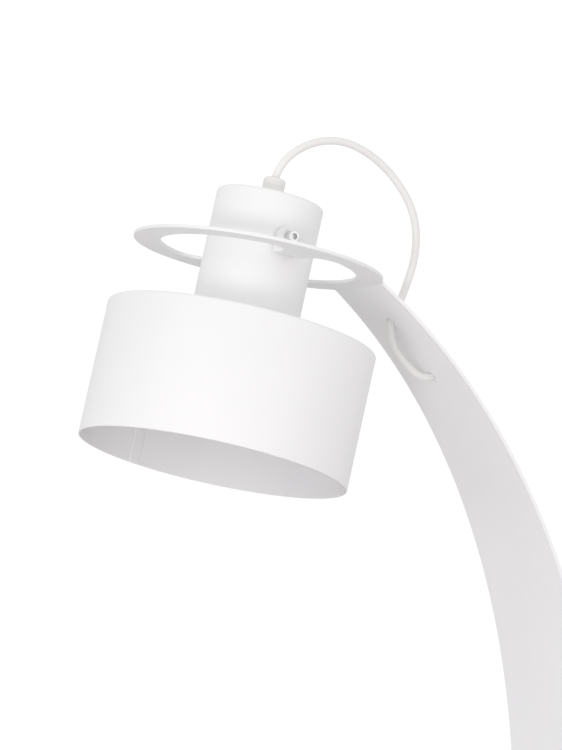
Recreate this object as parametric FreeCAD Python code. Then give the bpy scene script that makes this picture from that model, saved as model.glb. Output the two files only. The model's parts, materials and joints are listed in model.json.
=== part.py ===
"""Arc floor lamp, millimetres.

One bent steel sheet makes the ring round the head, the tapering curved arm
and the foot.  The head (neck, shade, lampholder, bulb) tilts between two ears
folded up from the ring.  Origin: centre of the base's underside, on the floor.
+Z up, the arm bulges towards +X, the head overhangs towards -X.
"""
import FreeCAD, Part
import math
import os

from FreeCAD import Vector as V

os.makedirs("parts", exist_ok=True)

# ------------------------------------------------------------ driving sizes
SHEET = 3.0                 # arm sheet thickness
RING_HEIGHT = 1450.0        # ring centre above the floor
RING_R, RING_HOLE_R = 105.0, 82.5
RING_TILT = 12.07           # degrees, ring plane falls towards +X
HEAD_TILT = 14.06           # degrees, head axis leans towards +X at rest
PIVOT_X, PIVOT_H = 0.08, 14.4   # pivot in the ring's own plane frame
ARM_START_SLOPE = 39.5      # degrees below horizontal, just after the bend
ARM_W0 = 39.27              # half width at the bend
BEND_R_IN = 3.0
FOOT_BEND_R_IN = 6.0
FOOT_R = 165.0
PAD_T, PLATE_T = 2.0, 12.0
HOLE1_S, HOLE2_S, HOLE_R = 42.0, 101.8, 5.0     # cable holes, along the arm

NECK_R, NECK_WALL = 45.0, 2.0
NECK_TOP, NECK_BOT = 36.0, -75.0    # along the head axis, from the pivot
SHADE_R, SHADE_WALL, SHADE_BOT = 113.4, 1.5, -190.9
FLANGE_R_IN, FLANGE_T = 34.0, 4.0
SCREW_PCR = 39.5

BUSH_R, BUSH_FACE = 8.0, 45.2
FRICTION_T = 0.4
EAR_IN = BUSH_FACE + FRICTION_T     # ear's inner face
EAR_OUT = EAR_IN + SHEET
EAR_HALF = 12.5
EAR_BLEND_R = 16.0          # in the flat sheet, where each tab grows out of the ring
PIVOT_BOLT_R = 3.0
PIVOT_HOLE_R = 3.05
WASHER_T = 0.8

CORD_R = 3.25
GRIP_R, GRIP_H = 9.3, 17.5

# inline foot switch, long axis along Y
SW_X, SW_Y, SW_Z = 298.0, 0.0, 8.0
SW_HALF_L, SW_HALF_W, SW_SPLIT, SW_TOP = 42.0, 18.0, 10.0, 22.0
RELIEF_L = 20.0
BUTTON_R, BUTTON_TRAVEL = 13.0, 3.5

COIL_C = (225.0, 75.0)
COIL_R_IN, COIL_R_OUT, COIL_H = 28.0, 48.0, 13.2
PLUG_AT, PLUG_DIR = (149.0, 144.5), 155.0
PLUG_Z = 6.85
PLUG_L, PLUG_W, PLUG_T = 36.0, 35.3, 13.7
PIN_R, PIN_L, PIN_GAP = 2.0, 19.0, 18.6


# ---------------------------------------------------------------- helpers
def save(name, shape):
    bad = [s for s in shape.Solids if not s.isValid()]
    print("%-20s solids %d volume %.0f%s" % (name, len(shape.Solids), shape.Volume, "  INVALID" if bad else ""))
    shape.exportStep("parts/%s.step" % name)


def cyl(r, a, b, axis="z", x=0.0, y=0.0):
    """A cylinder on an axis through (x, y), from a to b along it."""
    lo, hi = min(a, b), max(a, b)
    if axis == "z":
        return Part.makeCylinder(r, hi - lo, V(x, y, lo), V(0, 0, 1))
    if axis == "y":
        return Part.makeCylinder(r, hi - lo, V(x, lo, y), V(0, 1, 0))
    return Part.makeCylinder(r, hi - lo, V(lo, x, y), V(1, 0, 0))


def box(x0, x1, y0, y1, z0, z1):
    return Part.makeBox(x1 - x0, y1 - y0, z1 - z0, V(x0, y0, z0))


def revolve(points):
    """A closed (r, z) outline turned about Z."""
    pts = [V(r, 0, z) for r, z in points]
    wire = Part.makePolygon(pts + [pts[0]])
    return Part.Face(wire).revolve(V(0, 0, 0), V(0, 0, 1), 360)


def hexagon(af, z0, z1, x=0.0, y=0.0):
    r = af / math.sqrt(3)
    pts = [V(x + r * math.cos(math.radians(60 * i)), y + r * math.sin(math.radians(60 * i)), z0) for i in range(6)]
    return Part.Face(Part.makePolygon(pts + [pts[0]])).extrude(V(0, 0, z1 - z0))


def rounded(hx, hy, r, z0, z1, x=0.0, y=0.0):
    b = box(x - hx, x + hx, y - hy, y + hy, z0, z1)
    edges = [e for e in b.Edges if abs(e.tangentAt(e.FirstParameter).z) > 0.9]
    return b.makeFillet(r, edges)


def round_edges(shape, r, test):
    return shape.makeFillet(r, [e for e in shape.Edges if test(e)])


def group(shapes):
    return Part.makeCompound(shapes)


def tube_path(points):
    """Straight runs joined by tangent arcs, each as large as its runs allow."""
    pts = [V(*p) for p in points]
    edges, here, radii = [], pts[0], []
    for i in range(1, len(pts) - 1):
        a, b = pts[i] - pts[i - 1], pts[i + 1] - pts[i]
        la, lb = a.Length, b.Length
        a, b = a * (1.0 / la), b * (1.0 / lb)
        turn = math.acos(max(-1, min(1, a.dot(b))))
        back = 0.45 * min(la, lb)
        radii.append(back / math.tan(turn / 2))
        p, q = pts[i] - a * back, pts[i] + b * back
        mid = (b - a)
        mid.normalize()
        h = back / math.tan((math.pi - turn) / 2) if turn > 1e-9 else 0
        rad = radii[-1]
        centre = pts[i] + mid * (rad / math.cos(turn / 2))
        m = centre - mid * rad
        edges.append(Part.LineSegment(here, p).toShape())
        edges.append(Part.Arc(p, m, q).toShape())
        here = q
    edges.append(Part.LineSegment(here, pts[-1]).toShape())
    return Part.Wire(edges), radii


def tube(name, points, r=CORD_R):
    wire, radii = tube_path(points)
    start = V(*points[0])
    d = V(*points[1]) - start
    prof = Part.Wire([Part.makeCircle(r, start, d)])
    solid = wire.makePipeShell([prof], True, False)
    if solid.Volume < 0:
        solid.reverse()
    want = math.pi * r * r * wire.Length
    runs = [(V(*points[i + 1]) - V(*points[i])).Length for i in range(len(points) - 1)]
    print("%s: length %.1f volume/want %.5f radii %s runs %s" % (
        name, wire.Length, solid.Volume / want, [round(x) for x in radii], [round(x) for x in runs]))
    return solid


# ------------------------------------------------------- the arm's profile
def curvature(s):
    """Per millimetre, along the arm's concave face from the bend."""
    u = s / 1.05
    if u <= 560:
        k = 2.358 - 0.251 * (u / 100)
    else:
        k = 0.13 + (2.358 - 0.251 * 5.6 - 0.13) * max(0.0, 1 - (u - 560) / 190.0)
    return k / 1050.0


def half_width(s):
    u = s / 1.05
    w = 37.4 + 7.51 * (u / 100)
    if u > 560:
        w -= 0.00155 * (u - 560) - 0.0
        w -= 0.0000075 * (u - 560) ** 2
    return w * 1.05


al = math.radians(RING_TILT)
be = math.radians(HEAD_TILT)
ring_u, ring_n = V(math.cos(al), 0, -math.sin(al)), V(math.sin(al), 0, math.cos(al))
RING_CHORD = math.sqrt(RING_R ** 2 - ARM_W0 ** 2)       # where the ring ends and the bend starts
slope0 = math.radians(ARM_START_SLOPE)

# nodes of the profile, relative to the ring's centre: (s, x, z, slope)
start = ring_u * RING_CHORD - ring_n * (SHEET / 2)
bend = slope0 - al
centre = start - ring_n * BEND_R_IN
after_bend = centre + V(math.sin(slope0), 0, math.cos(slope0)) * BEND_R_IN
FOOT_TOP = PAD_T + PLATE_T + SHEET


def walk(s_nodes):
    """Tangent arcs through the profile; the curvature of each is its mean."""
    out = [(0.0, after_bend.x, after_bend.z, slope0)]
    for s0, s1 in zip(s_nodes[:-1], s_nodes[1:]):
        s, x, z, f = out[-1]
        n = 40
        turn = sum(curvature(s0 + (s1 - s0) * (i + 0.5) / n) for i in range(n)) * (s1 - s0) / n
        f1 = f + turn
        r = (s1 - s0) / turn
        # concave side is below: centre lies to the inside
        cx, cz = x - r * math.sin(f), z - r * math.cos(f)
        out.append((s1, cx + r * math.sin(f1), cz + r * math.cos(f1), f1))
    return out


S_NODES = [0, 45, 90, 135, 180, 235, 290, 345, 400, 455, 510, 550, 588, 640, 690, 740, 788]
s_try = list(S_NODES)
lo, hi = 1200.0, 1900.0
for _ in range(60):                 # length of the last arc, so that the foot lands on the plate
    mid = (lo + hi) / 2
    nodes = walk(s_try + [mid])
    s, x, z, f = nodes[-1]
    # the foot bend turns the heading on to level, towards -X
    z_foot = z - FOOT_BEND_R_IN * math.cos(f) - FOOT_BEND_R_IN
    if z_foot + RING_HEIGHT > FOOT_TOP:
        lo = mid
    else:
        hi = mid
S_END = (lo + hi) / 2
nodes = walk(s_try + [S_END])
s, x, z, f_end = nodes[-1]
foot_w = half_width(S_END)
FOOT_CHORD = math.sqrt(FOOT_R ** 2 - foot_w ** 2)
foot_cx = x - FOOT_BEND_R_IN * math.sin(f_end)     # centre of the foot bend, ring frame
OFF = V(-(foot_cx - FOOT_CHORD), 0, RING_HEIGHT)   # ring frame -> lamp frame
print("arm length %.1f, end slope %.2f deg, foot half width %.1f, chord %.1f, ring centre x %.2f" % (
    S_END, math.degrees(f_end), foot_w, FOOT_CHORD, OFF.x))
nodes = [(s, x + OFF.x, z + OFF.z, f) for s, x, z, f in nodes]


def on_arm(s, out=0.0):
    """A point out millimetres off the arm's concave face (3 is the outer face), with tangent and normal."""
    for a, b in zip(nodes[:-1], nodes[1:]):
        if s <= b[0] or b is nodes[-1]:
            turn = (b[3] - a[3]) * (s - a[0]) / (b[0] - a[0])
            r = (b[0] - a[0]) / (b[3] - a[3])
            f = a[3] + turn
            cx, cz = a[1] - r * math.sin(a[3]), a[2] - r * math.cos(a[3])
            n = V(math.sin(f), 0, math.cos(f))
            return V(cx, 0, cz) + n * (r + out), V(math.cos(f), 0, -math.sin(f)), n


def profile_wire():
    """Closed outline, in the XZ plane, of the ring bend, the arm and the foot bend."""
    ps, pn = start + OFF, ring_n
    c = centre + OFF
    n0 = V(math.sin(slope0), 0, math.cos(slope0))
    nm = (ring_n + n0)
    nm.normalize()
    inner, outer = [], []
    inner.append(Part.Arc(ps, c + nm * BEND_R_IN, c + n0 * BEND_R_IN).toShape())
    outer.append(Part.Arc(ps + ring_n * SHEET, c + nm * (BEND_R_IN + SHEET), c + n0 * (BEND_R_IN + SHEET)).toShape())
    for a, b in zip(nodes[:-1], nodes[1:]):
        r = (b[0] - a[0]) / (b[3] - a[3])
        cc = V(a[1] - r * math.sin(a[3]), 0, a[2] - r * math.cos(a[3]))
        fm = (a[3] + b[3]) / 2
        for lst, rr in ((inner, r), (outer, r + SHEET)):
            lst.append(Part.Arc(*[cc + V(math.sin(f), 0, math.cos(f)) * rr for f in (a[3], fm, b[3])]).toShape())
    a = nodes[-1]
    cc = V(a[1] - FOOT_BEND_R_IN * math.sin(a[3]), 0, a[2] - FOOT_BEND_R_IN * math.cos(a[3]))
    fm = (a[3] + math.pi) / 2
    for lst, rr in ((inner, FOOT_BEND_R_IN), (outer, FOOT_BEND_R_IN + SHEET)):
        lst.append(Part.Arc(*[cc + V(math.sin(f), 0, math.cos(f)) * rr for f in (a[3], fm, math.pi)]).toShape())
    top = Part.LineSegment(ps + ring_n * SHEET, ps).toShape()
    end = Part.LineSegment(cc + V(0, 0, -FOOT_BEND_R_IN), cc + V(0, 0, -FOOT_BEND_R_IN - SHEET)).toShape()
    return Part.Wire([top] + inner + [end] + list(reversed(outer))), cc


# -------------------------------------------------------------------- arm
wire, foot_bend_c = profile_wire()
print("foot bend centre", foot_bend_c, "foot chord", FOOT_CHORD)
face = Part.Face(wire)
face.translate(V(0, -170, 0))
band = face.extrude(V(0, 340, 0))

out_pts = [(RING_HEIGHT + 10, half_width(0))]
s = 0.0
while s < S_END - 1:
    p = on_arm(s, SHEET / 2)[0]
    out_pts.append((p.z, half_width(s)))
    s += 60.0
out_pts.append((on_arm(S_END, SHEET / 2)[0].z, foot_w))
edge_r = Part.BSplineCurve()
edge_r.interpolate([V(-400, w, z) for z, w in out_pts[1:]])
edge_l = Part.BSplineCurve()
edge_l.interpolate([V(-400, -w, z) for z, w in out_pts[1:]])
zt, wt = out_pts[1]
zb, wb = out_pts[-1]
pr, pl = [V(-400, wt, zt), V(-400, wt, zt + 40)], [V(-400, -wt, zt), V(-400, -wt, zt + 40)]
outline = Part.Wire(Part.__sortEdges__([
    edge_r.toShape(), edge_l.toShape(),
    Part.LineSegment(pr[0], pr[1]).toShape(), Part.LineSegment(pr[1], pl[1]).toShape(),
    Part.LineSegment(pl[1], pl[0]).toShape(),
    Part.LineSegment(V(-400, wb, zb), V(-400, wb, 0)).toShape(),
    Part.LineSegment(V(-400, wb, 0), V(-400, -wb, 0)).toShape(),
    Part.LineSegment(V(-400, -wb, 0), V(-400, -wb, zb)).toShape()]))
prism = Part.Face(outline).extrude(V(1000, 0, 0))
strip = band.common(prism)

# the ring, with its ears, in its own frame: x along ring_u, z along ring_n
FOLD_Y = EAR_OUT + 2.0      # centre line of the ears' fold, inner radius 2


def ring_opening():
    """The ring's hole: a circle, with two tabs reaching in on wide root blends."""
    rb = EAR_BLEND_R
    cx = EAR_HALF + rb
    cy = math.sqrt((RING_HOLE_R - rb) ** 2 - cx ** 2)
    k = RING_HOLE_R / (RING_HOLE_R - rb)
    tx, ty = cx * k, cy * k                       # where a blend meets the circle
    a = math.atan2(cy, cx)
    m = (a + math.pi) / 2                         # halfway round the blend
    mx, my = cx + rb * math.cos(m), cy + rb * math.sin(m)
    z = -SHEET
    edges = []
    for sx in (1, -1):
        edges.append(Part.Arc(V(sx * tx, ty, z), V(sx * RING_HOLE_R, 0, z), V(sx * tx, -ty, z)).toShape())
        for sy in (1, -1):
            edges.append(Part.Arc(V(sx * tx, sy * ty, z), V(sx * mx, sy * my, z), V(sx * EAR_HALF, sy * cy, z)).toShape())
            edges.append(Part.LineSegment(V(sx * EAR_HALF, sy * cy, z), V(sx * EAR_HALF, sy * FOLD_Y, z)).toShape())
    for sy in (1, -1):
        edges.append(Part.LineSegment(V(-EAR_HALF, sy * FOLD_Y, z), V(EAR_HALF, sy * FOLD_Y, z)).toShape())
    wire = Part.Wire(Part.__sortEdges__(edges))
    return Part.Face(wire).extrude(V(0, 0, 2 * SHEET))


ring = cyl(RING_R, -SHEET / 2, SHEET / 2).cut(ring_opening())
ring = ring.cut(box(RING_CHORD, 200, -200, 200, -20, 20))


def ear(side):
    """The folded-up end of a tab, standing against the neck."""
    r_in, t = 2.0, SHEET
    zc = t / 2 + r_in
    fold = cyl(r_in + t, -EAR_HALF, EAR_HALF, "x", FOLD_Y, zc).cut(cyl(r_in, -50, 50, "x", FOLD_Y, zc))
    fold = fold.common(box(-EAR_HALF, EAR_HALF, 0, FOLD_Y, -t, zc))
    up_h = PIVOT_H - 3.0
    up = box(-EAR_HALF, EAR_HALF, EAR_IN, EAR_OUT, zc, up_h)
    head = cyl(EAR_HALF, EAR_IN, EAR_OUT, "y", 0, up_h).common(box(-50, 50, 0, 90, up_h - 1, 90))
    e = fold.fuse([up, head])
    e = e.cut(cyl(PIVOT_HOLE_R, 0, 100, "y", PIVOT_X, PIVOT_H))
    if side < 0:
        e = e.mirror(V(0, 0, 0), V(0, 1, 0))
    return e


ring = ring.fuse([ear(1), ear(-1)])
ring.rotate(V(0, 0, 0), V(0, 1, 0), RING_TILT)
ring.translate(OFF)

# the foot disc with its welded studs
foot = cyl(FOOT_R, FOOT_TOP - SHEET, FOOT_TOP).cut(box(FOOT_CHORD, 300, -300, 300, 0, 40))
STUDS = [(40.0, 95.0), (40.0, -95.0), (-75.0, 70.0), (-75.0, -70.0)]
studs = [cyl(3.0, FOOT_TOP - SHEET - 10.0, FOOT_TOP - SHEET, "z", x, y) for x, y in STUDS]
arm = strip.fuse([ring, foot] + studs)
for s in (HOLE1_S, HOLE2_S):
    p, t, n = on_arm(s)
    arm = arm.cut(Part.makeCylinder(HOLE_R, 20, p - n * 10, n))
arm = arm.removeSplitter()
save("arm", arm)

# ------------------------------------------------------------------- base
plate = cyl(FOOT_R, PAD_T, PAD_T + PLATE_T)
plate = round_edges(plate, 1.2, lambda e: e.Length > 500)
nuts, washers = [], []
for x, y in STUDS:
    plate = plate.cut(cyl(3.3, 0, 30, "z", x, y)).cut(cyl(9.0, 0, PAD_T + 7.0, "z", x, y))
    washers.append(cyl(6.0, PAD_T + 5.4, PAD_T + 7.0, "z", x, y).cut(cyl(3.2, 0, 30, "z", x, y)))
    nuts.append(hexagon(10.0, PAD_T + 0.6, PAD_T + 5.4, x, y).cut(cyl(3.0, 0, 30, "z", x, y)))
save("base_plate", plate)
save("base_nuts", group(nuts))
save("base_washers", group(washers))
save("floor_pad", cyl(FOOT_R - 1.5, 0, PAD_T))

# ------------------------------------------------------------------- head
pivot = OFF + ring_u * PIVOT_X + ring_n * PIVOT_H
head_k = V(math.sin(be), 0, math.cos(be))
print("pivot", pivot)


def put(shape):
    s = shape.copy()
    s.rotate(V(0, 0, 0), V(0, 1, 0), HEAD_TILT)
    s.translate(pivot)
    return s


def arc_pts(cx, cz, r, a0, a1, n=8):
    return [(cx + r * math.cos(math.radians(a0 + (a1 - a0) * i / n)),
             cz + r * math.sin(math.radians(a0 + (a1 - a0) * i / n))) for i in range(n + 1)]


neck = cyl(NECK_R, NECK_BOT, NECK_TOP)
neck = round_edges(neck, 3.0, lambda e: e.BoundBox.ZMin > NECK_TOP - 0.1)
bore = cyl(NECK_R - NECK_WALL, NECK_BOT + FLANGE_T, NECK_TOP - 3.0)
neck = neck.cut(bore).cut(cyl(FLANGE_R_IN, NECK_BOT - 1, NECK_BOT + FLANGE_T + 1))
neck = neck.cut(cyl(5.1, 0, 60)).cut(cyl(BUSH_R, -60, 60, "y"))
SHADE_SCREWS = [(SCREW_PCR * math.cos(math.radians(a)), SCREW_PCR * math.sin(math.radians(a))) for a in (30, 150, 270)]
for x, y in SHADE_SCREWS:
    neck = neck.cut(cyl(2.0, -90, -60, "z", x, y))
save("neck_housing", put(neck))

shade = cyl(SHADE_R, SHADE_BOT, NECK_BOT)
shade = round_edges(shade, 3.0, lambda e: e.BoundBox.ZMin > NECK_BOT - 0.1)
hollow = cyl(SHADE_R - SHADE_WALL, SHADE_BOT - 5, NECK_BOT - SHADE_WALL)
hollow = round_edges(hollow, 1.5, lambda e: e.BoundBox.ZMin > NECK_BOT - SHADE_WALL - 0.1)
shade = shade.cut(hollow).cut(cyl(FLANGE_R_IN, -90, -60))
for x, y in SHADE_SCREWS:
    shade = shade.cut(cyl(2.1, -90, -60, "z", x, y))
save("shade", put(shade))

scr = []
for x, y in SHADE_SCREWS:
    z0 = NECK_BOT - SHADE_WALL
    h = cyl(4.0, z0 - 2.6, z0, "z", x, y)
    h = round_edges(h, 1.2, lambda e: e.BoundBox.ZMax < z0 - 2.5)
    h = h.cut(box(x - 2.4, x + 2.4, y - 0.5, y + 0.5, z0 - 4, z0 - 1.5)).cut(box(x - 0.5, x + 0.5, y - 2.4, y + 2.4, z0 - 4, z0 - 1.5))
    scr.append(h.fuse(cyl(2.0, z0, z0 + 7.0, "z", x, y)))
save("shade_screws", put(group(scr)))

bushes, fric, wash, bolts = [], [], [], []
for side in (-1, 1):
    bushes.append(cyl(BUSH_R, side * 39.0, side * BUSH_FACE, "y").cut(cyl(PIVOT_BOLT_R, -60, 60, "y")))
    fric.append(cyl(8.0, side * BUSH_FACE, side * EAR_IN, "y").cut(cyl(PIVOT_HOLE_R, -60, 60, "y")))
    wash.append(cyl(6.2, side * EAR_OUT, side * (EAR_OUT + WASHER_T), "y").cut(cyl(PIVOT_HOLE_R, -60, 60, "y")))
    a, b = EAR_OUT + WASHER_T, EAR_OUT + WASHER_T + 6.0
    hd = cyl(5.0, side * a, side * b, "y")
    hd = round_edges(hd, 0.6, lambda e: abs(abs(e.BoundBox.Center.y) - b) < 0.01 and e.BoundBox.YLength < 0.01)
    key = hexagon(5.0, 0, 3.6)
    key.rotate(V(0, 0, 0), V(1, 0, 0), -90 * side)
    key.translate(V(0, side * (b - 3.5), 0))
    bolts.append(hd.cut(key).fuse(cyl(PIVOT_BOLT_R, side * 37.0, side * a, "y")))
save("pivot_bushes", put(group(bushes)))
save("friction_washers", put(group(fric)))
save("pivot_washers", put(group(wash)))
save("pivot_bolts", put(group(bolts)))

# cord grip, its screw, nipple and nut
grip = cyl(GRIP_R, NECK_TOP, NECK_TOP + GRIP_H)
grip = round_edges(grip, 3.0, lambda e: e.BoundBox.ZMin > NECK_TOP + GRIP_H - 0.1)
grip = grip.cut(cyl(CORD_R, 0, 80)).cut(cyl(5.0, 0, NECK_TOP + 10.0)).cut(cyl(1.5, CORD_R, 20, "y", 0, NECK_TOP + 13.0))
save("cord_grip", put(grip))
gs = cyl(1.5, CORD_R, GRIP_R - 0.6, "y", 0, NECK_TOP + 13.0).cut(box(-1.2, 1.2, GRIP_R - 1.4, 20, NECK_TOP + 12.75, NECK_TOP + 13.25))
save("grip_screw", put(gs))
nip = cyl(5.0, 20.0, NECK_TOP + 10.0).cut(cyl(3.6, 0, 80))
save("threaded_nipple", put(nip))
save("nipple_nut", put(hexagon(14.0, NECK_TOP - 6.0, NECK_TOP - 3.0).cut(cyl(5.0, 0, 60))))

# lampholder
cap = cyl(19.5, 6.0, 30.0)
cap = round_edges(cap, 5.0, lambda e: e.BoundBox.ZMin > 29.9)
cap = cap.cut(cyl(17.0, 0, 25.0)).cut(cyl(5.0, 0, 40))
save("lampholder_cap", put(cap))
body = cyl(20.5, -26.0, 6.0)
body = round_edges(body, 1.5, lambda e: e.BoundBox.ZMax < -25.9)
body = body.cut(cyl(14.3, -30, 1.0)).cut(cyl(1.7, 0, 10, "z", 9, 0)).cut(cyl(1.7, 0, 10, "z", -9, 0))
save("lampholder_body", put(body))
save("lampholder_shell", put(cyl(14.3, -22.0, -1.0).cut(cyl(13.4, -40, 10))))
save("lampholder_contact", put(cyl(5.0, -1.2, 1.0).fuse(cyl(1.4, -2.0, -1.2))))
save("terminal_screws", put(group([cyl(1.7, 2.5, 8.0, "z", sx * 9, 0).fuse(cyl(2.6, 8.0, 10.0, "z", sx * 9, 0)) for sx in (-1, 1)])))

# bulb
save("bulb_cap", put(cyl(13.3, -27.0, -6.0).cut(cyl(12.9, -40, -6.4))))
save("bulb_insulator", put(revolve([(0, -6), (9.0, -6), (5.0, -3.2), (0, -3.2)])))
save("bulb_contact", put(revolve([(0, -3.2), (5.0, -3.2), (3.5, -2.2), (0, -2.0)])))
bb = [(0, -6.4), (12.9, -6.4), (12.9, -27.0), (14.6, -27.0), (16.5, -38.0), (20.5, -52.0), (26.0, -66.0), (29.5, -76.0), (29.5, -77.0), (0, -77.0)]
save("bulb_housing", put(revolve(bb)))
gl = [(0, -77.0), (29.8, -77.0), (30.0, -80.0)] + [(30.0 * math.cos(math.radians(a)), -80.0 - 30.0 * math.sin(math.radians(a))) for a in range(6, 90, 6)] + [(0, -110.0)]
save("bulb_diffuser", put(revolve(gl)))

# ------------------------------------------------------------------- cord
exit_p = pivot + head_k * (NECK_TOP + GRIP_H)
inner = put(cyl(CORD_R, 21.0, NECK_TOP + GRIP_H))
save("cord_inner", inner)


def lamp(points):
    """Points given from the ring's centre, as x and z."""
    return [(x + OFF.x, 0.0, z + OFF.z) for x, z in points]


ARCH = [(21.5, 80.8), (49.3, 97.7), (79.2, 101.0), (107.1, 90.7), (132.6, 69.9), (148.9, 40.1), (154.2, 6.6), (143.3, -25.9)]
THREAD = (127.2, -49.2)
e = exit_p
e = exit_p + head_k * 0.4
arch_pts = [(e.x, e.y, e.z)] + lamp(ARCH + [THREAD])
print("exit", e)
print("arch", [tuple(round(c, 1) for c in p) for p in arch_pts])
save("cord_arch", tube("cord_arch", arch_pts))

a, b = V(*arch_pts[-2]), V(*arch_pts[-1])
d = (b - a).normalize()
p1 = b + d * 10.0
LOOP = [(123.0, -76.0), (138.5, -91.5)]
h2, t2, n2 = on_arm(HOLE2_S, SHEET / 2)
ang = math.radians(14.0)
through = V(math.cos(ang), 0, math.sin(ang))
p4, p5 = h2 - through * 11.0, h2 + through * 9.5
ang = math.radians(-22.0)
p6 = p5 + V(math.cos(ang), 0, math.sin(ang)) * 17.0
back = [(tuple(b)), tuple(p1)] + lamp(LOOP) + [tuple(p4), tuple(p5), tuple(p6)]
BACK = [(150.0, 8.2), (192.0, 6.0)]
s, step = 255.0, 84.0
while s < S_END - 110:
    sag = step * step * curvature(s) / 8
    BACK.append((s, 3.7 + sag))
    s += step
for s, e_ in BACK:
    back.append(tuple(on_arm(s, SHEET + e_)[0]))
print("last back point", back[-1], "s", BACK[-1])
FLOOR = [(118.5, -2.5, 98.0), (129.0, -8.0, 60.0), (149.0, -16.0, 36.0), (172.0, -29.0, 24.0), (194.0, -45.0, 11.0), (211.0, -68.0, 3.25),
         (220.0, -95.0, 3.25), (222.0, -123.7, 3.25), (244.3, -146.0, 3.25), (275.7, -146.0, 3.25), (298.0, -123.7, 3.25),
         (SW_X, -83.0, SW_Z), (SW_X, -SW_HALF_L, SW_Z)]
# the cord leaves its last clip and lands behind the base
lead = back + FLOOR
lead = [tuple(float(c) for c in p) for p in lead]
print("lead", [tuple(round(c, 1) for c in p) for p in lead])
save("cord_lead", tube("cord_lead", lead))

clips = []
first = len([1 for p in back]) - len(BACK)
for i in (first + 6, first + 9, first + 12, len(back) - 2):
    if i + 1 >= len(back):
        continue
    a, b = V(*back[i]), V(*back[i + 1])
    m, t = (a + b) * 0.5, (b - a).normalize()
    n = V(-t.z, 0, t.x)
    if n.x < 0:
        n = n * -1
    # distance of the sheet's outer face below the cord's centre
    best = min(((on_arm(k * 1.0, SHEET)[0] - m).Length, k) for k in range(200, int(S_END)))
    g = best[0]
    m4 = FreeCAD.Matrix(t.x, 0, n.x, m.x, t.y, 1, n.y, m.y, t.z, 0, n.z, m.z, 0, 0, 0, 1)
    c = box(-6, 6, -9, 9, -g, -g + 1.6).fuse(cyl(5.2, -6, 6, "x")).fuse(box(-6, 6, -5.2, 5.2, -g, 0))
    c = c.common(box(-6, 6, -10, 10, -g, 10)).cut(cyl(CORD_R + 0.05, -10, 10, "x"))
    c.Placement = FreeCAD.Placement(m4)
    clips.append(c)
    print("clip", m, "gap", round(g, 2))
save("cable_clips", group(clips))

TAIL = [(SW_X, SW_HALF_L, SW_Z), (SW_X, 71.0, SW_Z), (298.0, 93.6, 3.25), (288.35, 110.35, 3.25), (271.65, 120.0, 3.25), (254.0, 119.6, 3.25), (238.0, 117.6, 3.25)]
save("cord_tail", tube("cord_tail", TAIL))
coil = cyl(COIL_R_OUT, 0, COIL_H, "z", *COIL_C).cut(cyl(COIL_R_IN, -1, 40, "z", *COIL_C))
coil = round_edges(coil, 3.0, lambda e: e.Length > 100 and e.BoundBox.ZLength < 0.01)
save("cord_coil", coil)
tie_m = box(COIL_R_IN - 1.2, COIL_R_OUT + 1.2, -2.5, 2.5, 0.0, COIL_H + 1.2).cut(box(COIL_R_IN - 0.15, COIL_R_OUT + 0.1, -5, 5, -1.0, COIL_H))
tie_m.rotate(V(0, 0, 0), V(0, 0, 1), 200)
tie_m.translate(V(COIL_C[0], COIL_C[1], 0))
save("coil_tie", tie_m)

pd = V(math.cos(math.radians(PLUG_DIR)), math.sin(math.radians(PLUG_DIR)), 0)
END = [(240.0, 119.6, 9.75), (208.0, 120.3, 9.2), (178.4, 130.8, 7.4), (PLUG_AT[0], PLUG_AT[1], PLUG_Z)]
END[2] = (PLUG_AT[0] - pd.x * 33.0, PLUG_AT[1] - pd.y * 33.0, PLUG_Z)
save("cord_end", tube("cord_end", END))


def put_plug(shape):
    s = shape.copy()
    s.rotate(V(0, 0, 0), V(0, 0, 1), PLUG_DIR)
    s.translate(V(PLUG_AT[0], PLUG_AT[1], PLUG_Z))
    return s


hw = PLUG_W / 2
outline = [V(0, -7.5, -PLUG_T / 2), (V(9, -12.0, -PLUG_T / 2)), V(PLUG_L - 14, -hw, -PLUG_T / 2), V(PLUG_L, -hw, -PLUG_T / 2),
           V(PLUG_L, hw, -PLUG_T / 2), V(PLUG_L - 14, hw, -PLUG_T / 2), V(9, 12.0, -PLUG_T / 2), V(0, 7.5, -PLUG_T / 2)]
pb = Part.Face(Part.makePolygon(outline + [outline[0]])).extrude(V(0, 0, PLUG_T))
pb = pb.makeFillet(3.0, [e for e in pb.Edges if e.BoundBox.ZLength > 10])
pb = pb.makeFillet(2.0, [e for e in pb.Edges if e.BoundBox.ZLength < 0.01 and abs(e.BoundBox.ZMin) > 6])
pin_holes = [cyl(1.5, PLUG_L - 12, PLUG_L + 1, "x", sy * PIN_GAP / 2, 0) for sy in (-1, 1)]
save("plug_body", put_plug(pb.cut(group(pin_holes))))
pins = [cyl(1.5, PLUG_L - 12, PLUG_L + 10.0, "x", sy * PIN_GAP / 2, 0).fuse(
    round_edges(cyl(PIN_R, PLUG_L + 10.0, PLUG_L + PIN_L, "x", sy * PIN_GAP / 2, 0), 1.0, lambda e: e.BoundBox.XMin > PLUG_L + PIN_L - 0.1)) for sy in (-1, 1)]
save("plug_pins", put_plug(group(pins)))
slv = [cyl(PIN_R, PLUG_L, PLUG_L + 10.0, "x", sy * PIN_GAP / 2, 0).cut(cyl(1.5, 0, 60, "x", sy * PIN_GAP / 2, 0)) for sy in (-1, 1)]
save("pin_sleeves", put_plug(group(slv)))


def relief(length, r0, r1, bore=CORD_R):
    """A tapered strain relief along -X from the origin, with three grooves."""
    c = Part.makeCone(r0, r1, length, V(0, 0, 0), V(-1, 0, 0))
    for k in (0.3, 0.5, 0.7):
        r = r0 + (r1 - r0) * k
        g = cyl(r + 3, -length * k - 0.6, -length * k + 0.6, "x").cut(cyl(r - 0.7, -length, 0, "x"))
        c = c.cut(g)
    return c.cut(cyl(bore, -100, 10, "x"))


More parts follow.
